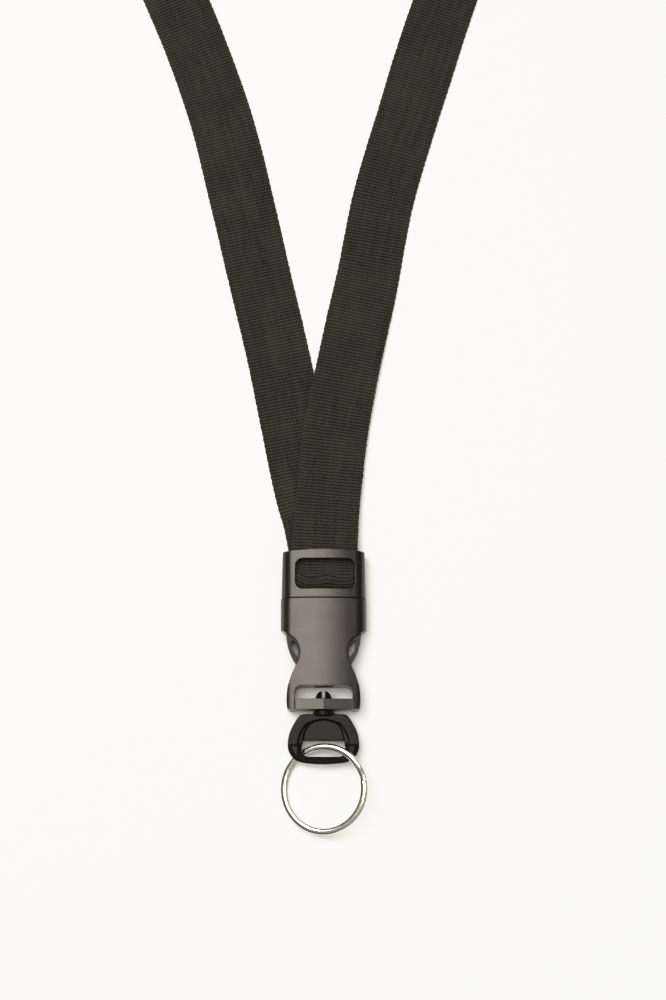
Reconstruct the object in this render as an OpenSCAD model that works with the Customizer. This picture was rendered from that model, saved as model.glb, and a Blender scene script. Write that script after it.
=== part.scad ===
// Lanyard: a webbing neck strap, a side-release buckle, a swivel loop and a split key ring.
// The surface it lies on is z = 0, +Y runs up the strap, and the origin is the middle of the
// male half's flat back. Everything is in millimetres.

/* [Strap] */
// Width of the webbing
strap_w = 20; // [16:0.5:20]
// Thickness of the webbing
strap_t = 1.2; // [0.8:0.1:1.2]

/* [Buckle] */
// Thickness of both buckle halves
thick = 10.1; // [10:0.1:11]
// Width of the male half at its lower end
male_w = 25.6; // [25:0.1:26]
// Height of the male half, from the strap's mouth to the seam
male_h = 14.7; // [14.5:0.1:15]
// Width of the female half's collar
collar_w = 26; // [25.6:0.1:27]
// Height of the female half
female_h = 33.5; // [33.5:0.1:34]
// Width of the female half's waist
waist_w = 13.9; // [13:0.1:14.5]
// Width of the female half's lower end
flare_w = 22.1; // [21.5:0.1:22.5]
// Radius of the hole in the bar that the swivel's stem turns in
stem_hole_r = 1.7; // [1.7:0.05:1.9]

/* [Swivel loop] */
// Radius of the stem
stem_r = 1.63; // [1.5:0.01:1.64]
// Thickness of the loop's rounded lower part
loop_t = 2.6; // [2.2:0.1:2.6]

/* [Key ring] */
// Outside diameter of the ring
ring_d = 27; // [26.5:0.1:27.2]
// Width of the wire, measured along the ring's radius
wire_w = 1.85; // [1.6:0.05:1.9]
// Height of the two turns together
wire_h = 1.9; // [1.6:0.1:1.9]
// Tilt of the ring as it lies, right side up
ring_tilt = 18; // [18:0.5:20]

/* [Hidden] */
$fn = 64;
mid = thick / 2;                 // height of the buckle's middle plane
fit = 0.25;                      // clearance between the halves
far = 60;                        // longer than any cut needs to be

// Male half
male_top = male_h / 2;
male_low = -male_h / 2;
male_top_w = 24.8;
side_r = 4;                      // rounding of the buckle's sides
crown = 1.6;                     // how far the front falls away towards the sides
pocket_w = 22;                   // room for the strap
pocket_h = 6.8;
pocket_floor = -4.9;
window = [18.2, 9.3];
window_x = 0.5;                  // the window lies a little off the middle
bar_r = 1.5;                     // inner crossbar that the strap goes round
bar_y = -0.8;
wrap_r = bar_r + 0.2 + strap_t / 2;
wrap_reach = 2.9;                // the fold hangs a little loose below the crossbar
spigot_w = 14.4;                 // block that centres the male half in the collar
guide = [2.6, 19.5, 3.4];        // centre tongue that leads the male half in

// Female half
female_top = male_low - fit;
female_low = female_top - female_h;
collar_low = female_top - 10.5;
foot_x = 11.3;                   // half width at the collar's foot, inside its corners
mouth_w = 20.2;                  // inside width of the collar
gap_h = 5.8;                     // space between the front and back plates
waist_y = female_top - 16.4;
flare_y = female_top - 30.4;
flare_r = 20;
flare_x = flare_w / 2 - flare_r;
// The waist's radius makes its arc run smoothly into the flare's
waist_r = (pow(waist_w / 2 - flare_x, 2) + pow(waist_y - flare_y, 2) - pow(flare_r, 2))
          / (2 * (flare_r - (waist_w / 2 - flare_x)));
waist_x = waist_w / 2 + waist_r;
tangent_y = flare_y + (waist_y - flare_y) * flare_r / (flare_r + waist_r);
slot_w = 17.4;
slot_top = female_low + 7.1;
bar_h = 3.2;                     // height of the bar below the slot
bar_top = female_low + bar_h;

// Arms
arm_t = gap_h - 0.5;
root_x = 9;                      // where an arm bends
root_y = male_low - 1;
root_r = 0.95;
shoulder_y = collar_low - 0.3;   // the latching edge, just below the collar
shoulder_x = 11.25;

// Swivel loop
neck_low = female_low - 1.2;
head_r = 2.45;
loop_low = neck_low - 15;
round_from = neck_low - 9.3;     // below this the loop is rounded, above it is channelled
opening = [12.6, 4.5];
opening_y = neck_low - 10.25;    // middle of the opening

// Key ring
wire_r = (ring_d - wire_w) / 2;
ring_x = 0.1;
ring_y = neck_low - 8.7 - ring_d / 2;
ring_z = wire_r * sin(ring_tilt) + (wire_w * sin(ring_tilt) + wire_h * cos(ring_tilt)) / 2 + 0.01;

// The strap's route from the crossbar up each leg and round to the back of the neck:
// across, up, height of its lower side above the surface, and lean (90 is on edge)
right_leg = [
    [0.2, 4.5, 4.9, 0], [0.4, 9, 4.4, 0], [0.9, 18, 3.3, 0], [2, 30, 2, 0], [3.6, 45, 1.5, 0],
    [6.5, 61, 1.5, 0], [10, 78, 0.7, 0], [13.7, 95, 0, 0],
    [18.9, 122, 0, 0], [26.6, 149, 0, 0], [34.8, 176, 0, 0], [43, 201, 0, 5],
    [53, 232, 0, 26], [63, 266, 0, 58], [70, 301, 0, 88], [69, 336, 0, 90],
    [54, 368, 0, 90], [29, 390.5, 0, 90], [8, 398.6, 0, 90], [-7, 400, 0, 90],
    [-19, 399.2, 0, 90]
];
left_leg = [
    [-0.2, 4.5, 1.9, 0], [-0.8, 9, 1.6, 0], [-2.7, 18, 0.6, 0], [-6, 30, 0, 0], [-14.1, 69, 0, 0],
    [-20.2, 95, 0, 0], [-26.4, 122, 0, 0], [-33.2, 149, 0, 0], [-42.5, 176, 0, 0],
    [-53, 201, 0, 5], [-67, 232, 0, 26], [-79, 266, 0, 58], [-86, 301, 0, 88],
    [-85, 336, 0, 90], [-69, 368, 0, 90], [-43, 390.5, 0, 90], [-22, 398.6, 0, 90],
    [-7, 400, 0, 90], [5, 399.2, 0, 90]
];
lap_from = 395;                  // above this the two ends lie one outside the other
lap_rows = [[-16, 399.6], [2, 399.6]];
lap_gap = 0.15;                  // between the two layers of the lap
stitch = [0.6, 0.5, 1.5];        // thread's width, how far it stands out in all, its length
stitch_count = 9;                // in each row

function reversed(list) = [for (i = [len(list) - 1 : -1 : 0]) list[i]];
function unit(v) = v / norm(v);

// A smooth curve through a list of points; ends are held
function spline(p, i, t) =
    let (a = p[max(i - 1, 0)], b = p[i], c = p[i + 1], d = p[min(i + 2, len(p) - 1)])
    0.5 * (2 * b + (c - a) * t + (2 * a - 5 * b + 4 * c - d) * t * t
           + (3 * b - a - 3 * c + d) * t * t * t);
function smooth(p, steps) =
    concat([for (i = [0 : len(p) - 2], k = [0 : steps - 1]) spline(p, i, k / steps)],
           [p[len(p) - 1]]);

// A closed smooth outline, symmetric about x = 0, from the points of its right half
function outline(half, steps) =
    let (right = smooth(half, steps))
    concat(right, [for (p = reversed(right)) if (p[0] > 0.001) [-p[0], p[1]]]);

// Rounded rectangle of true arcs, centred
module round_rect(w, h, r) {
    square([w - 2 * r, h], center = true);
    square([w, h - 2 * r], center = true);
    for (x = [-1, 1], y = [-1, 1])
        translate([x * (w / 2 - r), y * (h / 2 - r)]) circle(r = r);
}

// A profile drawn across and up, run along Y from high to low
module along_y(high, low) {
    translate([0, high, 0]) rotate([90, 0, 0]) linear_extrude(high - low) children();
}

// The buckle's cross-section: flat back, round sides, gently crowned front
module shell_section(w) {
    crown_r = w * w / (8 * crown) + crown / 2;
    arc_x = w / 2 - side_r;                                    // middle of each side's upper arc
    arc_z = thick - crown_r + sqrt(pow(crown_r - side_r, 2) - arc_x * arc_x) + 0.02;
    meet = arc_x * crown_r / (crown_r - side_r);               // where the front runs into it
    intersection() {
        translate([0, thick - crown_r]) circle(r = crown_r, $fn = 256);
        translate([-meet, arc_z]) square([2 * meet, thick - arc_z]);
    }
    for (x = [-arc_x, arc_x], z = [side_r, arc_z]) translate([x, z]) circle(r = side_r);
    translate([-arc_x, 0]) square([2 * arc_x, arc_z]);
    translate([-w / 2, side_r]) square([w, arc_z - side_r]);
}

module wedge(w_top, w_low, top, low) {
    polygon([[-w_low / 2, low], [w_low / 2, low], [w_top / 2, top], [-w_top / 2, top]]);
}

// ---- male half ----

module male_half() {
    color([0.12, 0.115, 0.11]) {
        difference() {
            union() {
                intersection() {
                    along_y(male_top, male_low) shell_section(male_w);
                    linear_extrude(far) wedge(male_top_w, male_w, male_top, male_low);
                    translate([0, male_top - 105, 0]) cylinder(r = 105, h = far, $fn = 256);
                }
                along_y(male_low + 1, male_low - 1.8)              // spigot
                    translate([0, mid]) round_rect(spigot_w, gap_h - 0.4, 0.8);
                along_y(male_low, male_low - guide[1])             // centre tongue
                    translate([0, mid]) round_rect(guide[0], guide[2], 0.8);
            }
            along_y(male_top + 1, pocket_floor)
                translate([0, mid]) round_rect(pocket_w, pocket_h, 1.5);
            translate([window_x, -0.15, mid]) linear_extrude(far)
                round_rect(window[0], window[1], 2.2);
        }
        translate([0, bar_y, mid]) rotate([0, 90, 0])              // inner crossbar
            cylinder(r = bar_r, h = pocket_w + 0.8, center = true);
    }
}

// ---- arms: sprung latches, moulded with the male half, bending at their roots ----

// Outer edge of the finger pad, from the shoulder down to the tip, then back up the inside
function arm_edge() = concat(
    [[root_x + 0.8, root_y], [root_x + 0.8, shoulder_y + 0.1], [shoulder_x, shoulder_y]],
    smooth([[shoulder_x, shoulder_y - 0.3], [10.95, shoulder_y - 2.9], [10, shoulder_y - 6],
            [8.3, shoulder_y - 9], [6.9, shoulder_y - 10.8], [5.4, shoulder_y - 12]], 5),
    smooth([[4.4, shoulder_y - 12], [4.3, shoulder_y - 10.6], [5.7, shoulder_y - 7.5],
            [6.5, shoulder_y - 4], [7.5, shoulder_y - 0.5], [8.1, shoulder_y + 3]], 5),
    [[root_x - 0.8, root_y]]);

module arm() {
    difference() {
        translate([0, 0, mid - arm_t / 2]) union() {
            linear_extrude(arm_t) polygon(arm_edge());
            translate([root_x, root_y, 0]) cylinder(r = root_r, h = arm_t);
        }
        translate([8.55, shoulder_y - 4.4, -1]) rotate([0, 0, -18])   // eye-shaped hole
            linear_extrude(far) intersection() {
                translate([-3.8, 0]) circle(r = 4.6);
                translate([3.8, 0]) circle(r = 4.6);
            }
    }
}

module right_arm() { color([0.12, 0.115, 0.11]) arm(); }
module left_arm() { color([0.12, 0.115, 0.11]) mirror([1, 0, 0]) arm(); }

// ---- female half ----

module female_plan() {
    polygon([[-collar_w / 2, female_top], [collar_w / 2, female_top],
             [collar_w / 2, collar_low + 1.1], [foot_x, collar_low],
             [-foot_x, collar_low], [-collar_w / 2, collar_low + 1.1]]);
    difference() {
        translate([-foot_x, tangent_y]) square([2 * foot_x, collar_low - tangent_y + 0.5]);
        for (s = [-1, 1]) translate([s * waist_x, waist_y]) circle(r = waist_r);
    }
    intersection() {
        translate([flare_x, flare_y]) circle(r = flare_r, $fn = 128);
        translate([-flare_x, flare_y]) circle(r = flare_r, $fn = 128);
        translate([-far / 2, female_low]) square([far, tangent_y + 0.02 - female_low]);
        translate([0, female_low + 15]) round_rect(flare_w, 30, 1);   // rounds the two lower corners
    }
}

// Space inside for the arms: the collar's mouth, the side openings and the narrowing end
module arm_space() {
    translate([0, 0, mid - gap_h / 2]) linear_extrude(gap_h) {
        translate([-mouth_w / 2, collar_low - 1])
            square([mouth_w, female_top - collar_low + 2]);
        polygon([[-far / 2, collar_low], [far / 2, collar_low], [far / 2, tangent_y + 0.2],
                 [9, tangent_y], [6.6, tangent_y - 3.4], [6.6, tangent_y - 6],
                 [-6.6, tangent_y - 6], [-6.6, tangent_y - 3.4], [-9, tangent_y],
                 [-far / 2, tangent_y + 0.2]]);
    }
}

module grip_grooves() {
    for (s = [-1, 1], a = [14.5 : 2.6 : 28])
        translate([s * (flare_x + (flare_r + 0.12) * cos(a)),
                   flare_y + (flare_r + 0.12) * sin(a), -1])
            cylinder(r = 0.32, h = far, $fn = 24);
}

module female_half() {
    color([0.12, 0.115, 0.11]) difference() {
        union() {
            difference() {
                intersection() {
                    along_y(female_top, female_low) shell_section(collar_w);
                    linear_extrude(far) female_plan();
                }
                arm_space();
                grip_grooves();
                translate([0, slot_top - 2, -1]) linear_extrude(far)
                    round_rect(slot_w, 4, 1.95);
                translate([-slot_w / 2, female_low - 1, -1])
                    cube([slot_w, slot_top - 2 - female_low + 1, far]);
                along_y(slot_top + 4, slot_top - 1) translate([0, mid]) intersection() {
                    circle(r = 3.2);                               // opening in the end wall
                    square([7, 4.6], center = true);
                }
            }
            along_y(bar_top, female_low) polygon([                 // bar, ridged in the middle
                [-slot_w / 2 - 0.3, 1.9], [0, 0.9], [slot_w / 2 + 0.3, 1.9],
                [slot_w / 2 + 0.3, thick - 1.9], [0, thick - 0.9],
                [-slot_w / 2 - 0.3, thick - 1.9]]);
        }
        translate([0, bar_top + 1, mid]) rotate([90, 0, 0])        // hole for the stem
            cylinder(r = stem_hole_r, h = bar_h + 2);
    }
}

// ---- swivel loop ----

loop_half = [[0, neck_low], [5.8, neck_low], [7.6, neck_low - 0.9], [9.3, neck_low - 3.6],
             [10.3, neck_low - 6], [10.75, neck_low - 8.7], [10.4, neck_low - 11.1],
             [9, neck_low - 13.2], [7, neck_low - 14.3], [3.9, neck_low - 14.8], [0, loop_low]];
arch_half = [[0, neck_low - 1.6], [3.4, neck_low - 2.4], [5.4, neck_low - 4.6],
             [6.3, neck_low - 8.2], [6.3, opening_y + 2]];

module loop_plan(inset) {
    k = 1 - inset / 10.75;
    translate([0, round_from * (1 - k)]) scale(k) polygon(outline(loop_half, 4));
}

module loop_opening(grow) {
    translate([0, opening_y]) round_rect(opening[0] + 2 * grow, opening[1] + 2 * grow, 1.9);
    translate([-opening[0] / 2 - grow, opening_y])
        square([opening[0] + 2 * grow, opening[1] / 2 + grow]);
}

module layer(t) { translate([0, 0, mid - t / 2]) linear_extrude(t) children(); }

module swivel_loop() {
    color([0.1, 0.1, 0.1]) difference() {
        union() {
            // lower part, rounded in three steps
            layer(loop_t) difference() { loop_plan(1.1); loop_opening(1.3); }
            layer(loop_t - 0.6) difference() { loop_plan(0.5); loop_opening(0.7); }
            layer(loop_t - 1.4) difference() { loop_plan(0); loop_opening(0.2); }
            // upper part, thicker and channelled
            layer(loop_t + 0.8) intersection() {
                loop_plan(0.15);
                translate([-far / 2, round_from]) square([far, far]);
            }
            along_y(neck_low + 1, neck_low - 0.5) translate([0, mid]) circle(r = 3.1);
            along_y(bar_top + 0.2, neck_low) translate([0, mid]) circle(r = stem_r);
            translate([0, bar_top + 0.2, mid]) intersection() {    // barbed head
                sphere(r = head_r);
                translate([-far / 2, 0, -far / 2]) cube([far, far, far]);
            }
        }
        // recessed web on both faces, with the arch above it
        for (s = [0, 1]) translate([0, 0, s * (mid + 0.6)]) linear_extrude(mid - 0.6)
            polygon(outline(arch_half, 4));
        // channel along the inside of the shoulders
        for (s = [0, 1]) translate([0, 0, s * (mid + 1.15)]) linear_extrude(mid - 1.15)
            intersection() {
                loop_plan(3.1);
                translate([-far / 2, round_from + 0.4]) square([far, 7.2]);
            }
        translate([0, 0, -1]) linear_extrude(far) loop_opening(0);
        translate([-0.45, bar_top - 2.4, -1]) cube([0.9, 8, far]); // split that lets it snap in
    }
}

// ---- split ring ----

// One turn of the wire: a flat strip with eased edges
module turn(z) {
    ease = 0.25;
    x0 = wire_r - wire_w / 2;
    x1 = wire_r + wire_w / 2;
    h = wire_h / 2;
    polygon([[x0 + ease, z], [x1 - ease, z], [x1, z + ease], [x1, z + h - ease],
             [x1 - ease, z + h], [x0 + ease, z + h], [x0, z + h - ease], [x0, z + ease]]);
}

module split_ring() {
    color([0.8, 0.8, 0.78]) translate([ring_x, ring_y, ring_z]) rotate([0, -ring_tilt, 0])
        rotate_extrude($fn = 128) { turn(-wire_h / 2); turn(0); }
}

// ---- strap ----

// The middle of the strap, for a lower edge at the given height and one layer of the lap
function middle(p, layer) =
    [p[0], p[1] + (p[1] > lap_from ? layer * (strap_t + lap_gap) / 2 : 0),
     p[2] + strap_w / 2 * sin(p[3]) + strap_t / 2 * cos(p[3]) + 0.02, p[3]];
function leg(points, layer) = smooth([for (p = points) middle(p, layer)], 2);

wrap_arc = [for (a = [-90 : -45 : -270])
    [0, bar_y + wrap_reach * cos(a), mid + wrap_r * sin(a), 0]];

// From one sewn end at the neck, down the left leg, round the crossbar and up the right leg
strap_route = concat(reversed(leg(left_leg, -1)), wrap_arc, leg(right_leg, 1));

function along(i) =
    let (n = len(strap_route), a = strap_route[max(i - 1, 0)], b = strap_route[min(i + 1, n - 1)])
    unit([b[0] - a[0], b[1] - a[1], b[2] - a[2]]);

// The strap's cross-section at ring i, as eight points
function strap_ring(i) =
    let (p = strap_route[i], t = along(i), lean = p[3],
         w0 = [-cos(lean), 0, sin(lean)],
         w = unit(w0 - (w0 * t) * t), n = cross(t, w),
         hw = strap_w / 2, ht = strap_t / 2, e = strap_t / 4)
    [for (q = [[hw, -ht + e], [hw, ht - e], [hw - e, ht], [-hw + e, ht],
               [-hw, ht - e], [-hw, -ht + e], [-hw + e, -ht], [hw - e, -ht]])
        [p[0], p[1], p[2]] + q[0] * w + q[1] * n];

module sweep(count) {
    sides = 8;
    points = [for (i = [0 : count - 1]) each strap_ring(i)];
    // Both broad faces are cut along the same diagonal, so the thickness holds where it twists
    skin = [for (i = [0 : count - 2], k = [0 : sides - 1], second = [false, true])
        let (a = i * sides + k, b = i * sides + (k + 1) % sides,
             c = b + sides, d = a + sides)
        k < sides / 2 ? (second ? [a, c, d] : [a, b, c]) : (second ? [b, c, d] : [a, b, d])];
    polyhedron(points, concat([[for (k = [sides - 1 : -1 : 0]) k]],
                              [[for (k = [0 : sides - 1]) (count - 1) * sides + k]], skin));
}

// Two rows of stitches across the lap, through both layers
module stitches(grow) {
    for (s = lap_rows, k = [0 : stitch_count - 1])
        translate([s[0], s[1], 2 + k * (strap_w - 4) / (stitch_count - 1)])
            cube([stitch[0] + 2 * grow, 2 * strap_t + lap_gap + stitch[1],
                  stitch[2] + 2 * grow], center = true);
}

module strap() {
    color([0.16, 0.15, 0.13]) difference() {
        sweep(len(strap_route));
        stitches(0.02);                                        // the needle's holes
    }
}

module lap_stitching() { color([0.2, 0.19, 0.17]) stitches(0); }

strap();
lap_stitching();
male_half();
left_arm();
right_arm();
female_half();
swivel_loop();
split_ring();
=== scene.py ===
# A webbing neck lanyard lying on a white surface: strap, side-release buckle, swivel loop, split ring.
# Everything is in metres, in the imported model's own frame: +Y up the strap, z = 0 the surface.
import math

import bpy
import numpy as np
from mathutils import Matrix, Vector


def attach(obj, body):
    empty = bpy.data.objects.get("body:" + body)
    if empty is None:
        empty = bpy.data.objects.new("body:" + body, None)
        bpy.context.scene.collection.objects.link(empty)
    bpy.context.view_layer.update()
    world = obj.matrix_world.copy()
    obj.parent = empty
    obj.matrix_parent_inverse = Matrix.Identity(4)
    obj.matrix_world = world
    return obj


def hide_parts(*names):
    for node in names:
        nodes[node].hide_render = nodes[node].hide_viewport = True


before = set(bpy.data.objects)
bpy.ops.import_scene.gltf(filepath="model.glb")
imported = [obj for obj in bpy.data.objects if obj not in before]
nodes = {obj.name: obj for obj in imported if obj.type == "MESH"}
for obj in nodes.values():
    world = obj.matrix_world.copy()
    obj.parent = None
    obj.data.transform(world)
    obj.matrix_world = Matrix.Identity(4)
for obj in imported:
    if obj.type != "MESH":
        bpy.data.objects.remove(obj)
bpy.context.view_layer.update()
print("frame loaded,", len(nodes), "nodes")


# Small helpers

def addMesh(name, verts, faces, uvs=None):
    mesh = bpy.data.meshes.new(name)
    mesh.from_pydata(verts, [], faces)
    if uvs is not None:
        layer = mesh.uv_layers.new(name="Surface")
        corners = np.array([c for face in uvs for c in face], np.float32)
        layer.data.foreach_set("uv", corners.ravel())
    mesh.polygons.foreach_set("use_smooth", [True] * len(mesh.polygons))
    mesh.update()
    obj = bpy.data.objects.new(name, mesh)
    bpy.context.scene.collection.objects.link(obj)
    return obj


def smoothPath(points, steps):
    # Catmull-Rom through every point, ends held
    p = np.array(points, float)
    n = len(p)
    rows = []
    for i in range(n - 1):
        a, b, c, d = p[max(i - 1, 0)], p[i], p[i + 1], p[min(i + 2, n - 1)]
        for k in range(steps):
            t = k / steps
            rows.append(0.5 * (2 * b + (c - a) * t + (2 * a - 5 * b + 4 * c - d) * t * t
                               + (3 * b - a - 3 * c + d) * t ** 3))
    rows.append(p[-1])
    return np.array(rows)


def lengths(path):
    # distance along the path at each of its points
    step = np.linalg.norm(np.diff(path[:, :3], axis=0), axis=1)
    return np.concatenate([[0.0], np.cumsum(step)])


def resample(path, spacing):
    s = lengths(path)
    count = int(round(s[-1] / spacing)) + 1
    at = np.linspace(0.0, s[-1], count)
    cols = [np.interp(at, s, path[:, k]) for k in range(path.shape[1])]
    return at, np.stack(cols, axis=1)


def gridFaces(rings, around):
    # quads between neighbouring rings of a tube, with both ends capped
    faces = []
    for i in range(rings - 1):
        for k in range(around):
            j = (k + 1) % around
            faces.append((i * around + k, i * around + j, (i + 1) * around + j, (i + 1) * around + k))
    faces.append(tuple(range(around - 1, -1, -1)))
    faces.append(tuple((rings - 1) * around + k for k in range(around)))
    return faces


def girthOf(section):
    # distance round a closed section at each of its points, and once more at the first
    step = np.linalg.norm(np.roll(section, -1, axis=0) - section, axis=1)
    return np.concatenate([[0.0], np.cumsum(step)])


def tubeUvs(girth, along):
    # real distances: round the section, and along the tube; the same order as gridFaces
    around = len(girth) - 1
    last = len(along) - 1
    uvs = []
    for i in range(last):
        for k in range(around):
            uvs.append(((girth[k], along[i]), (girth[k + 1], along[i]), (girth[k + 1], along[i + 1]),
                        (girth[k], along[i + 1])))
    for i in (0, last):
        uvs.append(tuple((girth[k], along[i]) for k in range(around)))
    return uvs


def ease(t):
    return t * t * (3 - 2 * t)


def unitRows(a):
    return a / np.linalg.norm(a, axis=1, keepdims=True)


def valueNoise(at, spacing, seed):
    # smooth one-dimensional noise, from -1 to 1
    rng = np.random.default_rng(seed)
    knots = rng.uniform(-1.0, 1.0, int(at.max() / spacing) + 3)
    pos = at / spacing
    i = np.floor(pos).astype(int)
    t = ease(pos - i)
    return knots[i] * (1 - t) + knots[i + 1] * t


# The camera stands high over the buckle and looks down and a little up the strap
view = {"distance": 0.600, "elevation": 79.0, "lens": 69.77, "aim": (0.00285, 0.02427, 0.0)}


def makeCamera():
    data = bpy.data.cameras.new("camera")
    data.lens = view["lens"]
    data.sensor_width = 36.0
    data.clip_start = 0.01
    data.clip_end = 50.0
    camera = bpy.data.objects.new("camera", data)
    bpy.context.scene.collection.objects.link(camera)
    tilt = math.radians(view["elevation"])
    back = Vector((0.0, -math.cos(tilt), math.sin(tilt)))
    camera.location = Vector(view["aim"]) + back * view["distance"]
    camera.rotation_euler = (math.radians(90.0 - view["elevation"]), 0.0, 0.0)
    bpy.context.scene.camera = camera
    return camera


makeCamera()
print("camera made")


# Node helpers

def newMaterial(name):
    mat = bpy.data.materials.new(name)
    mat.use_nodes = True
    tree = mat.node_tree
    tree.nodes.clear()
    out = tree.nodes.new("ShaderNodeOutputMaterial")
    shader = tree.nodes.new("ShaderNodeBsdfPrincipled")
    tree.links.new(shader.outputs["BSDF"], out.inputs["Surface"])
    return mat, tree, shader


def newGroup(name, inputs, outputs):
    # inputs are (name, kind, default); outputs are (name, kind)
    tree = bpy.data.node_groups.new(name, "ShaderNodeTree")
    for label, kind, value in inputs:
        item = tree.interface.new_socket(name=label, in_out="INPUT", socket_type="NodeSocket" + kind)
        if value is not None:
            item.default_value = value
    for label, kind in outputs:
        tree.interface.new_socket(name=label, in_out="OUTPUT", socket_type="NodeSocket" + kind)
    return tree, tree.nodes.new("NodeGroupInput"), tree.nodes.new("NodeGroupOutput")


def useGroup(tree, group, **values):
    node = tree.nodes.new("ShaderNodeGroup")
    node.node_tree = group
    for label, value in values.items():
        node.inputs[label.replace("_", " ")].default_value = value
    return node


def put(tree, socket, value):
    # link an output, or set a plain value
    if isinstance(value, bpy.types.NodeSocket):
        tree.links.new(value, socket)
    elif value is not None:
        socket.default_value = value


def calc(tree, operation, a, b=None, clamp=False):
    node = tree.nodes.new("ShaderNodeMath")
    node.operation = operation
    node.use_clamp = clamp
    put(tree, node.inputs[0], a)
    put(tree, node.inputs[1], b)
    return node.outputs[0]


def times(tree, a, b):
    return calc(tree, "MULTIPLY", a, b)


def plus(tree, a, b, clamp=False):
    return calc(tree, "ADD", a, b, clamp)


def remap(tree, value, fromLow, fromHigh, toLow, toHigh):
    node = tree.nodes.new("ShaderNodeMapRange")
    node.clamp = True
    for socket, entry in zip(node.inputs, (value, fromLow, fromHigh, toLow, toHigh)):
        put(tree, socket, entry)
    return node.outputs[0]


def noise(tree, vector, scale, detail=2.0, rough=0.5):
    node = tree.nodes.new("ShaderNodeTexNoise")
    put(tree, node.inputs["Vector"], vector)
    put(tree, node.inputs["Scale"], scale)
    node.inputs["Detail"].default_value = detail
    node.inputs["Roughness"].default_value = rough
    return node.outputs["Fac"]


def stretched(tree, vector, scale, turn=(0.0, 0.0, 0.0)):
    node = tree.nodes.new("ShaderNodeMapping")
    put(tree, node.inputs["Vector"], vector)
    node.inputs["Scale"].default_value = scale
    node.inputs["Rotation"].default_value = turn
    return node.outputs["Vector"]


def mixColour(tree, share, first, second):
    node = tree.nodes.new("ShaderNodeMix")
    node.data_type = "RGBA"
    put(tree, node.inputs[0], share)
    put(tree, node.inputs[6], first)
    put(tree, node.inputs[7], second)
    return node.outputs[2]


def bump(tree, height, distance, normal=None):
    node = tree.nodes.new("ShaderNodeBump")
    node.inputs["Strength"].default_value = 1.0
    put(tree, node.inputs["Distance"], distance)
    put(tree, node.inputs["Height"], height)
    if normal is not None:
        tree.links.new(normal, node.inputs["Normal"])
    return node.outputs["Normal"]


def objectPlace(tree):
    return tree.nodes.new("ShaderNodeTexCoord").outputs["Object"]


def surfacePlace(tree):
    node = tree.nodes.new("ShaderNodeUVMap")
    node.uv_map = "Surface"
    return node.outputs["UV"]


def finishWith(tree, shader, effect):
    # a group's three results go to the shader's matching sockets
    tree.links.new(effect.outputs["Colour"], shader.inputs["Base Color"])
    tree.links.new(effect.outputs["Roughness"], shader.inputs["Roughness"])
    tree.links.new(effect.outputs["Normal"], shader.inputs["Normal"])


def setPlain(shader, **values):
    for label, value in values.items():
        shader.inputs[label.replace("_", " ")].default_value = value


# Shared effects, each built once

def scratchGroup():
    # thin straight marks in three directions
    tree, start, end = newGroup(
        "Scratches", [("Place", "Vector", None), ("Fineness", "Float", 900.0)], [("Marks", "Float")])
    total = None
    for turn, seed in ((0.35, 0.0), (1.25, 3.0), (2.2, 7.0)):
        shifted = tree.nodes.new("ShaderNodeVectorMath")
        shifted.operation = "ADD"
        tree.links.new(start.outputs["Place"], shifted.inputs[0])
        shifted.inputs[1].default_value = (seed, seed * 0.7, seed * 0.3)
        lined = stretched(tree, shifted.outputs[0], (0.045, 1.0, 0.4), (0.0, 0.0, turn))
        lines = noise(tree, lined, start.outputs["Fineness"], 1.0)
        patch = noise(tree, shifted.outputs[0], 140.0, 1.0)
        thin = remap(tree, lines, 0.66, 0.72, 0.0, 1.0)
        here = remap(tree, patch, 0.52, 0.64, 0.0, 1.0)
        marks = times(tree, thin, here)
        total = marks if total is None else calc(tree, "MAXIMUM", total, marks)
    tree.links.new(total, end.inputs["Marks"])
    return tree


def dustGroup():
    # sparse pale specks
    tree, start, end = newGroup(
        "Dust", [("Place", "Vector", None), ("Density", "Float", 420.0), ("Size", "Float", 0.085)],
        [("Specks", "Float")])
    cells = tree.nodes.new("ShaderNodeTexVoronoi")
    cells.feature = "F1"
    tree.links.new(start.outputs["Place"], cells.inputs["Vector"])
    tree.links.new(start.outputs["Density"], cells.inputs["Scale"])
    near = calc(tree, "LESS_THAN", cells.outputs["Distance"], start.outputs["Size"])
    pick = tree.nodes.new("ShaderNodeSeparateColor")
    tree.links.new(cells.outputs["Color"], pick.inputs[0])
    few = calc(tree, "GREATER_THAN", pick.outputs[0], 0.8)
    tree.links.new(times(tree, near, few), end.inputs["Specks"])
    return tree


scratches = scratchGroup()
dust = dustGroup()


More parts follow.
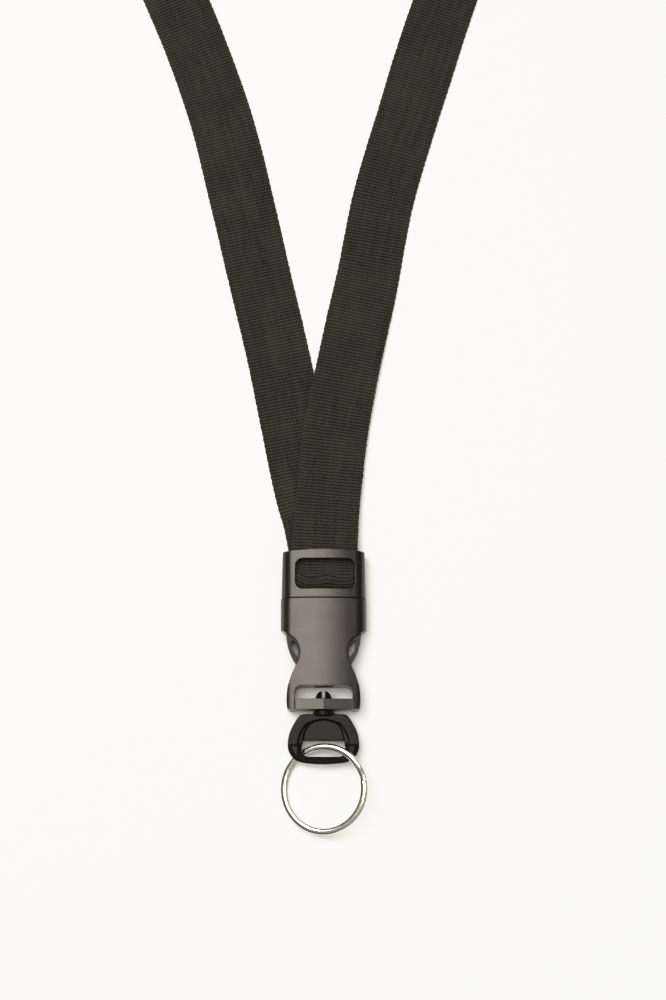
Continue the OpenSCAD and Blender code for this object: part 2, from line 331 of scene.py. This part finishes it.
def plasticGroup():
    # moulded plastic: fine spark-eroded grain, handling marks, faint cloudiness
    tree, start, end = newGroup(
        "MouldedPlastic",
        [("Place", "Vector", None), ("Tone", "Color", (0.02, 0.02, 0.02, 1)),
         ("Rubbed", "Color", (0.05, 0.05, 0.05, 1)), ("Grain", "Float", 7000.0),
         ("Depth", "Float", 0.000012), ("Rough Low", "Float", 0.3), ("Rough High", "Float", 0.42),
         ("Edge Normal", "Vector", None)],
        [("Colour", "Color"), ("Roughness", "Float"), ("Normal", "Vector")])
    place = start.outputs["Place"]
    grain = noise(tree, place, start.outputs["Grain"], 2.0, 0.6)
    clouds = noise(tree, place, 120.0, 4.0, 0.6)
    blotch = noise(tree, place, 900.0, 3.0, 0.6)
    marks = useGroup(tree, scratches)
    tree.links.new(place, marks.inputs["Place"])
    specks = useGroup(tree, dust)
    tree.links.new(place, specks.inputs["Place"])
    worn = times(tree, marks.outputs["Marks"], 0.14)
    cloudy = plus(tree, times(tree, clouds, 0.6), times(tree, blotch, 0.4))
    tint = remap(tree, cloudy, 0.35, 0.65, 0.0, 0.3)
    share = plus(tree, plus(tree, worn, tint), times(tree, specks.outputs["Specks"], 0.8), clamp=True)
    tree.links.new(mixColour(tree, share, start.outputs["Tone"], start.outputs["Rubbed"]),
                   end.inputs["Colour"])
    uneven = plus(tree, times(tree, clouds, 0.65), times(tree, grain, 0.35))
    rough = remap(tree, uneven, 0.35, 0.65, start.outputs["Rough Low"], start.outputs["Rough High"])
    rough = plus(tree, rough, times(tree, marks.outputs["Marks"], -0.03))
    tree.links.new(rough, end.inputs["Roughness"])
    height = calc(tree, "SUBTRACT", plus(tree, grain, times(tree, blotch, 0.8)),
                  times(tree, marks.outputs["Marks"], 0.5))
    tree.links.new(bump(tree, height, start.outputs["Depth"], start.outputs["Edge Normal"]),
                   end.inputs["Normal"])
    return tree


mouldedPlastic = plasticGroup()


def arches(tree, value):
    # a row of equal arches, one for each whole number
    return calc(tree, "ABSOLUTE", calc(tree, "SINE", times(tree, value, math.pi)))


def weaveGroup():
    # warp-faced webbing: rows of small beads, each row shifted half a yarn from the last
    tree, start, end = newGroup(
        "Webbing",
        [("Place", "Vector", None), ("Rib", "Float", 0.001), ("Yarn", "Float", 0.0008),
         ("Groove", "Color", (0.01, 0.01, 0.01, 1)), ("Crest", "Color", (0.03, 0.03, 0.03, 1)),
         ("Lint", "Color", (0.3, 0.3, 0.28, 1)), ("Depth", "Float", 0.0001)],
        [("Colour", "Color"), ("Roughness", "Float"), ("Normal", "Vector")])
    place = start.outputs["Place"]
    split = tree.nodes.new("ShaderNodeSeparateXYZ")
    tree.links.new(place, split.inputs[0])
    # ribs wander a little, and every second one is shifted
    wander = noise(tree, place, 260.0)
    across = calc(tree, "DIVIDE", split.outputs[0], start.outputs["Yarn"])
    along = calc(tree, "DIVIDE", split.outputs[1], start.outputs["Rib"])
    along = plus(tree, along, times(tree, calc(tree, "SUBTRACT", wander, 0.5), 0.5))
    row = calc(tree, "FLOOR", along)
    across = plus(tree, across, times(tree, calc(tree, "MODULO", row, 2.0), 0.5))
    # one random value for each bead
    cell = tree.nodes.new("ShaderNodeCombineXYZ")
    tree.links.new(calc(tree, "FLOOR", across), cell.inputs[0])
    tree.links.new(row, cell.inputs[1])
    odd = tree.nodes.new("ShaderNodeTexWhiteNoise")
    tree.links.new(cell.outputs[0], odd.inputs["Vector"])
    ribWave = calc(tree, "POWER", arches(tree, along), 1.4)
    bead = times(tree, ribWave, plus(tree, times(tree, arches(tree, across), 0.85), 0.15))
    fibres = noise(tree, stretched(tree, place, (1.0, 0.18, 1.0), (0.0, 0.0, 0.3)), 9000.0, 2.0, 0.6)
    height = plus(tree, bead, times(tree, fibres, 0.22))
    height = plus(tree, height, times(tree, odd.outputs["Value"], 0.12))
    tree.links.new(bump(tree, height, start.outputs["Depth"]), end.inputs["Normal"])
    # colour: painted shade in the grooves and painted light on the beads' tops, with long streaks and a
    # little fading
    streaks = noise(tree, stretched(tree, place, (1.0, 0.06, 1.0)), 700.0)
    faded = noise(tree, place, 60.0, 3.0, 0.6)
    share = plus(tree, times(tree, bead, 0.85), times(tree, times(tree, bead, odd.outputs["Value"]), 0.25))
    share = plus(tree, share, times(tree, fibres, 0.08))
    share = plus(tree, share, remap(tree, streaks, 0.3, 0.7, -0.1, 0.1))
    share = plus(tree, share, remap(tree, faded, 0.3, 0.7, -0.08, 0.1), clamp=True)
    base = mixColour(tree, share, start.outputs["Groove"], start.outputs["Crest"])
    specks = useGroup(tree, dust, Density=900.0, Size=0.12)
    tree.links.new(place, specks.inputs["Place"])
    linty = mixColour(tree, times(tree, specks.outputs["Specks"], 0.35), base, start.outputs["Lint"])
    tree.links.new(linty, end.inputs["Colour"])
    tree.links.new(remap(tree, share, 0.0, 1.0, 0.95, 0.72), end.inputs["Roughness"])
    return tree


webbing = weaveGroup()
print("shared effects built")


# The strap
strap = {
    "width": 0.020, "thick": 0.0012, "cut": 0.93,
    "rib": 0.0010, "ribHeight": 0.00006, "ribUneven": 0.000015,
    "serration": 0.00013, "serrationUneven": 0.18, "drift": 0.00018, "driftEvery": 0.021,
    "barY": -0.0008, "middle": 0.00505, "wrap": 0.0023, "wrapReach": 0.0029, "mouth": 0.002,
    "lapX": -0.007, "lapFrom": 0.395, "lapGap": 0.00015,
    "clear": 0.00002, "flatColumns": 10, "cornerStart": 0.9,
}
# the crumpled fold over the crossbar: where it is, how long, and how far it is pushed about
crumple = {
    "after": 0.0035, "length": 0.0032, "wave": 0.00045, "ripple": 0.0002,
    "swell": 0.00042, "lump": 0.00016, "pinch": 0.0014, "pinchFrom": 0.45,
}

# The strap's route from the crossbar up each leg and round to the back of the neck, in millimetres:
# across, up, height of its lower side, and lean in degrees (90 is on edge)
rightLeg = [
    (0.2, 4.5, 4.9, 0), (0.4, 9, 4.4, 0), (0.9, 18, 3.3, 0), (2, 30, 2, 0), (3.6, 45, 1.5, 0),
    (6.5, 61, 1.5, 0), (10, 78, 0.7, 0), (13.7, 95, 0, 0), (18.9, 122, 0, 0), (26.6, 149, 0, 0),
    (34.8, 176, 0, 0), (43, 201, 0, 5), (53, 232, 0, 26), (63, 266, 0, 58), (70, 301, 0, 88),
    (69, 336, 0, 90), (54, 368, 0, 90), (29, 390.5, 0, 90), (8, 398.6, 0, 90), (-7, 400, 0, 90),
    (-19, 399.2, 0, 90),
]
leftLeg = [
    (-0.2, 4.5, 1.9, 0), (-0.8, 9, 1.6, 0), (-2.7, 18, 0.6, 0), (-6, 30, 0, 0), (-14.1, 69, 0, 0),
    (-20.2, 95, 0, 0), (-26.4, 122, 0, 0), (-33.2, 149, 0, 0), (-42.5, 176, 0, 0), (-53, 201, 0, 5),
    (-67, 232, 0, 26), (-79, 266, 0, 58), (-86, 301, 0, 88), (-85, 336, 0, 90), (-69, 368, 0, 90),
    (-43, 390.5, 0, 90), (-22, 398.6, 0, 90), (-7, 400, 0, 90), (5, 399.2, 0, 90),
]


def strapMiddle(row, layer):
    # the middle of the webbing at one row of the route; the lap's two layers lie apart
    x, y, lift = (value * 0.001 for value in row[:3])
    lean = math.radians(row[3])
    if y > strap["lapFrom"]:
        y += layer * (strap["thick"] + strap["lapGap"]) / 2
    z = lift + strap["width"] / 2 * math.sin(lean) + strap["thick"] / 2 * math.cos(lean) + strap["clear"]
    return (x, y, z, lean)


def strapRoute():
    left = [strapMiddle(row, -1) for row in reversed(leftLeg)]
    right = [strapMiddle(row, 1) for row in rightLeg]
    arc = []
    for angle in range(-90, -271, -15):
        a = math.radians(angle)
        arc.append((0.0, strap["barY"] + strap["wrapReach"] * math.cos(a),
                    strap["middle"] + strap["wrap"] * math.sin(a), 0.0))
    return smoothPath(left + arc + right, 16)


def foldRow(points):
    # the row of the route that lies lowest round the crossbar
    below = np.abs(points[:, 1] - (strap["barY"] - strap["wrapReach"]))
    return int(np.argmin(below + np.abs(points[:, 2] - strap["middle"])))


def strapSection():
    # across, up, and the outward direction, from the middle, starting on the outer face
    half, edge = strap["width"] / 2, strap["thick"] / 2
    inner = half - edge
    flat = np.linspace(1.0, -1.0, strap["flatColumns"]) * inner
    corner = (strap["cornerStart"], math.pi / 2, math.pi - strap["cornerStart"])
    section = [(x, edge, 0.0, 1.0) for x in flat]
    section += [(-inner - edge * math.sin(a), edge * math.cos(a), -math.sin(a), math.cos(a)) for a in corner]
    section += [(x, -edge, 0.0, -1.0) for x in -flat]
    section += [(inner + edge * math.sin(a), -edge * math.cos(a), math.sin(a), -math.cos(a)) for a in corner]
    return np.array(section)


def strapAxes(centre, lean):
    heading = unitRows(np.gradient(centre, axis=0))
    side = np.stack([-np.cos(lean), 0 * lean, np.sin(lean)], axis=1)
    side = unitRows(side - heading * np.sum(side * heading, axis=1, keepdims=True))
    return heading, side, np.cross(heading, side)


def crumpledLine(u):
    # how far one lengthwise line of the fold goes along, out and inwards; u runs -1 to 1 across
    c = crumple
    wave = c["wave"] * math.sin(2.1 * math.pi * u + 0.9) + c["ripple"] * math.sin(5.3 * math.pi * u)
    swell = c["swell"] * math.cos(0.5 * math.pi * u) ** 2 + c["lump"] * math.sin(3.1 * math.pi * u + 1.0)
    share = max(0.0, -u - c["pinchFrom"]) / (1.0 - c["pinchFrom"])
    pinch = c["pinch"] * share ** 1.4
    return wave + 0.7 * pinch, swell - 0.4 * pinch, pinch


def column(values):
    return np.reshape(values, (-1, 1))


def makeStrap():
    perRib = 3
    at, ring = resample(strapRoute(), strap["rib"] / perRib)
    centre = ring[:, :3]
    heading, side, face = strapAxes(centre, ring[:, 3])
    section = strapSection()
    half = strap["width"] / 2
    # ribs, grooves between them, and selvedges where the weft turns at every second rib
    phase = at / strap["rib"]
    rng = np.random.default_rng(4)
    each = rng.normal(0.0, 1.0, int(phase.max()) + 2)[np.floor(phase).astype(int)]
    rib = strap["ribHeight"] * (np.abs(np.sin(phase * math.pi)) ** 1.5 - 1.0) + strap["ribUneven"] * each
    turn = np.cos(phase * math.pi) * 0.5 + strap["serrationUneven"] * each
    turnLeft = strap["serration"] * (turn - 0.5)
    turnRight = strap["serration"] * (-turn - 0.5)
    drift = strap["drift"] * valueNoise(at, strap["driftEvery"], 2)
    fold = np.exp(-((at - at[foldRow(centre)] - crumple["after"]) / crumple["length"]) ** 2)
    verts = np.zeros((len(at), len(section), 3))
    for k, (x, y, outX, outY) in enumerate(section):
        push, swell, pinch = crumpledLine(-x / half)
        wide = x + (turnLeft if x > 0 else turnRight) * outX + drift * (x / half) - pinch * fold
        high = y + rib * outY + swell * fold
        verts[:, k, :] = centre + side * column(wide) + face * column(high) + heading * column(push * fold)
    verts[:, :, 2] = np.maximum(verts[:, :, 2], strap["clear"])
    faces = gridFaces(len(at), len(section))
    obj = addMesh("strap_webbing", verts.reshape(-1, 3).tolist(), faces, tubeUvs(girthOf(section[:, :2]), at))
    return obj, ring


strapObj, strapRing = makeStrap()
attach(strapObj, "strap_side")
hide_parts("strap")


# the groove colour is painted shade and the crest colour painted light, both on yarn of one black dye
cloth = {
    "yarn": 0.0007, "depth": 0.0002, "grooveShade": (0.0042, 0.0040, 0.0029, 1),
    "crestLight": (0.0415, 0.0385, 0.0262, 1), "lint": (0.16, 0.15, 0.13, 1),
    "shine": 0.22, "sheen": 0.08, "sheenRough": 0.5, "sheenTint": (0.9, 0.82, 0.68, 1),
}


def webbingMaterial():
    mat, tree, shader = newMaterial("black webbing")
    # groove and crest colours: painted shade in the grooves and painted light on the beads
    weave = useGroup(tree, webbing, Rib=strap["rib"], Yarn=cloth["yarn"], Depth=cloth["depth"],
                     Groove=cloth["grooveShade"], Crest=cloth["crestLight"], Lint=cloth["lint"])
    tree.links.new(surfacePlace(tree), weave.inputs["Place"])
    finishWith(tree, shader, weave)
    setPlain(shader, Specular_IOR_Level=cloth["shine"], Sheen_Weight=cloth["sheen"],
             Sheen_Roughness=cloth["sheenRough"], Sheen_Tint=cloth["sheenTint"])
    return mat


strapObj.data.materials.append(webbingMaterial())


# The stitching of the lap: two rows of short threads on each side
stitching = {
    "rowsAt": (-0.016, 0.002), "y": 0.3996, "count": 9, "margin": 0.002, "thread": 0.00021,
    "length": 0.00156, "slope": 0.00025, "bow": 0.00030,
    "dark": (0.01, 0.0095, 0.008, 1), "light": (0.045, 0.042, 0.036, 1), "sheen": 0.1,
}


def stitch(start, end, out):
    # one stitch: a short twisted thread that dives into the cloth at both ends
    start, end, out = Vector(start), Vector(end), Vector(out)
    rings, around = 9, 8
    line = (end - start).normalized()
    cross = line.cross(out).normalized()
    verts = []
    for i in range(rings):
        t = i / (rings - 1)
        lift = stitching["bow"] * (math.sin(math.pi * t) ** 0.6 - 0.55)
        thick = stitching["thread"] * (1.0 + 0.12 * math.sin(9.0 * math.pi * t))
        middle = start.lerp(end, t) + out * lift
        for k in range(around):
            a = 2 * math.pi * k / around
            verts.append(tuple(middle + cross * (thick * math.cos(a)) + out * (thick * math.sin(a))))
    return verts, gridFaces(rings, around)


def makeStitching():
    verts, faces, uvs = [], [], []
    s = stitching
    pitch = (strap["width"] - 2 * s["margin"]) / (s["count"] - 1)
    for x in s["rowsAt"]:
        for side in (-1, 1):
            slope = s["slope"] * side
            y = s["y"] + side * (strap["thick"] + strap["lapGap"] / 2)
            for k in range(s["count"]):
                z = s["margin"] + k * pitch
                low = (x - slope, y, z - s["length"] / 2)
                high = (x + slope, y, z + s["length"] / 2)
                more, shape = stitch(low, high, (0.0, side, 0.0))
                base = len(verts)
                verts += more
                faces += [tuple(v + base for v in face) for face in shape]
                uvs += [tuple((0.0004 * (j % 2), 0.0002 * j) for j in range(len(face))) for face in shape]
    return addMesh("stitching", verts, faces, uvs)


def threadMaterial():
    mat, tree, shader = newMaterial("black thread")
    lay = stretched(tree, objectPlace(tree), (1.0, 1.0, 0.35), (0.6, 0.0, 0.4))
    twist = noise(tree, lay, 9000.0, 2.0, 0.6)
    tree.links.new(mixColour(tree, twist, stitching["dark"], stitching["light"]), shader.inputs["Base Color"])
    tree.links.new(remap(tree, twist, 0.3, 0.7, 0.45, 0.7), shader.inputs["Roughness"])
    tree.links.new(bump(tree, twist, 0.00006), shader.inputs["Normal"])
    setPlain(shader, Sheen_Weight=stitching["sheen"])
    return mat


stitchObj = makeStitching()
stitchObj.data.materials.append(threadMaterial())
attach(stitchObj, "strap_side")
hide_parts("lap_stitching")
print("stitching made")


# The buckle and the swivel loop are the CAD mouldings with their edges eased
buckle = {
    "tone": (0.0060, 0.0054, 0.0044, 1), "rubbed": (0.019, 0.017, 0.0145, 1), "rough": (0.27, 0.33),
    "grain": 4600.0, "depth": 0.000017, "shine": 0.5, "edge": 0.00028, "weld": 0.000001, "sharp": 32.0,
}
arm = dict(buckle, shine=0.15)  # painted shade: the same plastic with less shine, so the arms, which stand deeper in the buckle, look darker than its faces
# the loop's low shine is in part painted shade: its finish is semi-gloss, and the low level keeps its flat
# faces dark where they would mirror the softbox
loop = {
    "tone": (0.0045, 0.0042, 0.0035, 1), "rubbed": (0.017, 0.016, 0.0135, 1), "rough": (0.20, 0.30),
    "grain": 4200.0, "depth": 0.000010, "shine": 0.07, "edge": 0.00012, "voxel": 0.00013, "rounds": 9,
}
plastic = {"index": 1.48, "tint": (1.0, 0.93, 0.84, 1)}


def splitEdges(part):
    # flat faces stay flat and curved ones smooth; the edges between them are rounded in the material
    weld = part.modifiers.new("Joined", "WELD")
    weld.merge_threshold = buckle["weld"]
    split = part.modifiers.new("Sharp", "EDGE_SPLIT")
    split.split_angle = math.radians(buckle["sharp"])


def easeEdges(part):
    remesh = part.modifiers.new("Moulded", "REMESH")
    remesh.mode = "VOXEL"
    remesh.voxel_size = loop["voxel"] * 1.0
    remesh.use_smooth_shade = True
    smooth = part.modifiers.new("Eased", "SMOOTH")
    smooth.factor = 0.5
    smooth.iterations = loop["rounds"]


def plasticMaterial(name, look):
    mat, tree, shader = newMaterial(name)
    finish = useGroup(tree, mouldedPlastic, Tone=look["tone"], Rubbed=look["rubbed"],
                      Grain=look["grain"], Depth=look["depth"],
                      Rough_Low=look["rough"][0], Rough_High=look["rough"][1])
    edge = tree.nodes.new("ShaderNodeBevel")
    edge.samples = 6
    edge.inputs["Radius"].default_value = look["edge"]
    tree.links.new(edge.outputs["Normal"], finish.inputs["Edge Normal"])
    tree.links.new(objectPlace(tree), finish.inputs["Place"])
    finishWith(tree, shader, finish)
    setPlain(shader, Specular_IOR_Level=look["shine"], Specular_Tint=plastic["tint"], IOR=plastic["index"])
    return mat


def dress(part, material):
    part.data.materials.clear()
    part.data.materials.append(material)


buckleMaterial = plasticMaterial("satin black plastic", buckle)
# the arms get the buckle plastic with less shine: painted shade
armShadedMaterial = plasticMaterial("duller black plastic", arm)
# the loop's material carries painted shade in its low shine
loopShadedMaterial = plasticMaterial("glossy loop plastic with painted shade", loop)

for name in ("male_half", "female_half", "left_arm", "right_arm"):
    part = nodes[name]
    splitEdges(part)
    dress(part, armShadedMaterial if name.endswith("arm") else buckleMaterial)
loopObj = nodes["swivel_loop"]
easeEdges(loopObj)
dress(loopObj, loopShadedMaterial)
print("mouldings eased")


# The split ring: two turns of flattened wire, crossing over once
splitRing = {
    "centre": (0.0001, -0.0645, 0.005085), "tilt": 18.0, "radius": 0.012575,
    "wide": 0.00185, "high": 0.00093, "step": 0.00097, "boxy": 0.86,
    "crossFrom": 13.0, "crossTo": 36.0, "crossMiddle": 24.0, "endGap": 1.5, "endSize": 0.72,
    "outOfRound": 0.00004, "bright": (0.82, 0.785, 0.72, 1), "dull": (0.56, 0.51, 0.43, 1),
}


def wireSection():
    r = splitRing
    section = []
    for k in range(20):
        a = 2 * math.pi * k / 20
        c, s = math.cos(a), math.sin(a)
        section.append((math.copysign(abs(c) ** r["boxy"], c) * r["wide"] / 2,
                        math.copysign(abs(s) ** r["boxy"], s) * r["high"] / 2))
    return np.array(section)


def makeRing():
    r = splitRing
    perTurn = 180
    first = r["crossTo"] + r["endGap"]
    last = 720.0 + r["crossFrom"] - r["endGap"]
    count = int((last - first) / 360.0 * perTurn)
    section = wireSection()
    along = [r["radius"] * math.radians((last - first) / count) * i for i in range(count + 1)]
    rows = []
    for i in range(count + 1):
        degrees = first + (last - first) * i / count
        a = math.radians(degrees)
        t = min(1.0, max(0.0, (degrees - 360.0 - r["crossFrom"]) / (r["crossTo"] - r["crossFrom"])))
        level = r["step"] * (ease(t) - 0.5)
        upper = degrees > 360.0 + r["crossMiddle"]
        spread = r["radius"] + r["outOfRound"] * math.sin(3 * a) * (1 if upper else -0.6)
        taper = min(1.0, r["endSize"] + 60.0 * min(i, count - i) / count)
        for x, y in section:
            reach = spread + x * taper
            rows.append((reach * math.cos(a), reach * math.sin(a), level + y * taper))
    place = Matrix.Translation(r["centre"]) @ Matrix.Rotation(math.radians(-r["tilt"]), 4, "Y")
    verts = [tuple(place @ Vector(v)) for v in rows]
    return addMesh("key_ring", verts, gridFaces(count + 1, len(section)), tubeUvs(girthOf(section), along))


def nickelMaterial():
    mat, tree, shader = newMaterial("bright nickel")
    place = objectPlace(tree)
    drawn = noise(tree, stretched(tree, surfacePlace(tree), (1.0, 0.03, 1.0)), 14000.0, 2.0, 0.6)
    clouds = noise(tree, place, 420.0, 3.0, 0.6)
    marks = useGroup(tree, scratches, Fineness=2400.0)
    tree.links.new(place, marks.inputs["Place"])
    dull = plus(tree, times(tree, remap(tree, clouds, 0.45, 0.7, 0.0, 1.0), 0.5),
                times(tree, marks.outputs["Marks"], 0.5), clamp=True)
    tree.links.new(mixColour(tree, dull, splitRing["bright"], splitRing["dull"]), shader.inputs["Base Color"])
    rough = plus(tree, remap(tree, drawn, 0.3, 0.7, 0.09, 0.17), times(tree, dull, 0.14))
    tree.links.new(rough, shader.inputs["Roughness"])
    height = calc(tree, "SUBTRACT", drawn, times(tree, marks.outputs["Marks"], 0.6))
    tree.links.new(bump(tree, height, 0.000006), shader.inputs["Normal"])
    setPlain(shader, Metallic=1.0)
    return mat


ringObj = makeRing()
ringObj.data.materials.append(nickelMaterial())
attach(ringObj, "ring")
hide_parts("split_ring")
print("ring made")


# The surface it lies on
board = {"half": 3.0, "pale": (0.90, 0.893, 0.88, 1), "grey": (0.86, 0.852, 0.838, 1), "shine": 0.25}


def boardMaterial():
    mat, tree, shader = newMaterial("white board")
    place = objectPlace(tree)
    fibre = noise(tree, place, 1800.0, 3.0, 0.6)
    broad = noise(tree, place, 4.0)
    share = plus(tree, times(tree, fibre, 0.35), times(tree, broad, 0.65))
    tree.links.new(mixColour(tree, share, board["pale"], board["grey"]), shader.inputs["Base Color"])
    tree.links.new(remap(tree, fibre, 0.3, 0.7, 0.75, 0.9), shader.inputs["Roughness"])
    tree.links.new(bump(tree, fibre, 0.00002), shader.inputs["Normal"])
    setPlain(shader, Specular_IOR_Level=board["shine"])
    return mat


def makeFloor():
    h = board["half"]
    floor = addMesh("surface", [(-h, -h, 0), (h, -h, 0), (h, h, 0), (-h, h, 0)], [(0, 1, 2, 3)])
    floor.data.materials.append(boardMaterial())


# The light: a tall softbox over the upper left, and a broad weak fill that isn't mirrored
softbox = {"at": (-0.275, 0.20, 1.10), "size": (0.55, 0.90), "radiance": 8.7, "colour": (1.0, 0.955, 0.90)}
fill = {"at": (0.25, -0.10, 1.60), "size": (2.6, 2.6), "radiance": 0.95, "colour": (1.0, 0.975, 0.94)}
room = {
    "low": (0.05, 0.042, 0.034, 1), "high": (0.70, 0.66, 0.60, 1), "from": 0.55, "strength": 0.8,
    "backdrop": (0.86, 0.85, 0.83, 1),
}


def areaLight(name, look):
    data = bpy.data.lights.new(name, "AREA")
    data.shape = "RECTANGLE"
    data.size, data.size_y = look["size"]
    data.energy = look["radiance"] * data.size * data.size_y * math.pi
    data.color = look["colour"]
    light = bpy.data.objects.new(name, data)
    light.location = look["at"]
    light.rotation_euler = (-Vector(look["at"])).to_track_quat("-Z", "Y").to_euler()
    bpy.context.scene.collection.objects.link(light)
    return light


def makeWorld():
    world = bpy.data.worlds.new("room")
    world.use_nodes = True
    tree = world.node_tree
    tree.nodes.clear()
    out = tree.nodes.new("ShaderNodeOutputWorld")
    back = tree.nodes.new("ShaderNodeBackground")
    split = tree.nodes.new("ShaderNodeSeparateXYZ")
    tree.links.new(tree.nodes.new("ShaderNodeTexCoord").outputs["Generated"], split.inputs[0])
    height = remap(tree, split.outputs[2], room["from"], 1.0, 0.0, 1.0)
    walls = mixColour(tree, height, room["low"], room["high"])
    seen = tree.nodes.new("ShaderNodeLightPath").outputs["Is Camera Ray"]
    tree.links.new(mixColour(tree, seen, walls, room["backdrop"]), back.inputs["Color"])
    back.inputs["Strength"].default_value = room["strength"]
    tree.links.new(back.outputs[0], out.inputs["Surface"])
    bpy.context.scene.world = world


makeFloor()
areaLight("softbox", softbox)
areaLight("fill", fill).visible_glossy = False
makeWorld()

# A print's soft shoulder: bright paper settles just short of full white
tone = {
    "white": 2.0, "top": (0.976, 0.972, 0.969),
    "shoulder": ((0.25, 0.51), (0.36, 0.74), (0.46, 0.90), (0.55, 0.948), (0.63, 0.962), (0.69, 0.993)),
}


def setTone(settings):
    settings.view_transform = "Standard"
    settings.look = "None"
    settings.use_curve_mapping = True
    mapping = settings.curve_mapping
    mapping.white_level = (tone["white"],) * 3
    mapping.extend = "HORIZONTAL"
    shared = mapping.curves[3]
    shared.points[0].location = (0.0, 0.0)
    shared.points[1].location = (1.0, 1.0)
    for x, y in tone["shoulder"]:
        shared.points.new(x, y)
    for curve, top in zip(mapping.curves, tone["top"]):
        curve.points[1].location = (1.0, top)
    mapping.update()


setTone(bpy.context.scene.view_settings)
print("stage and light made")
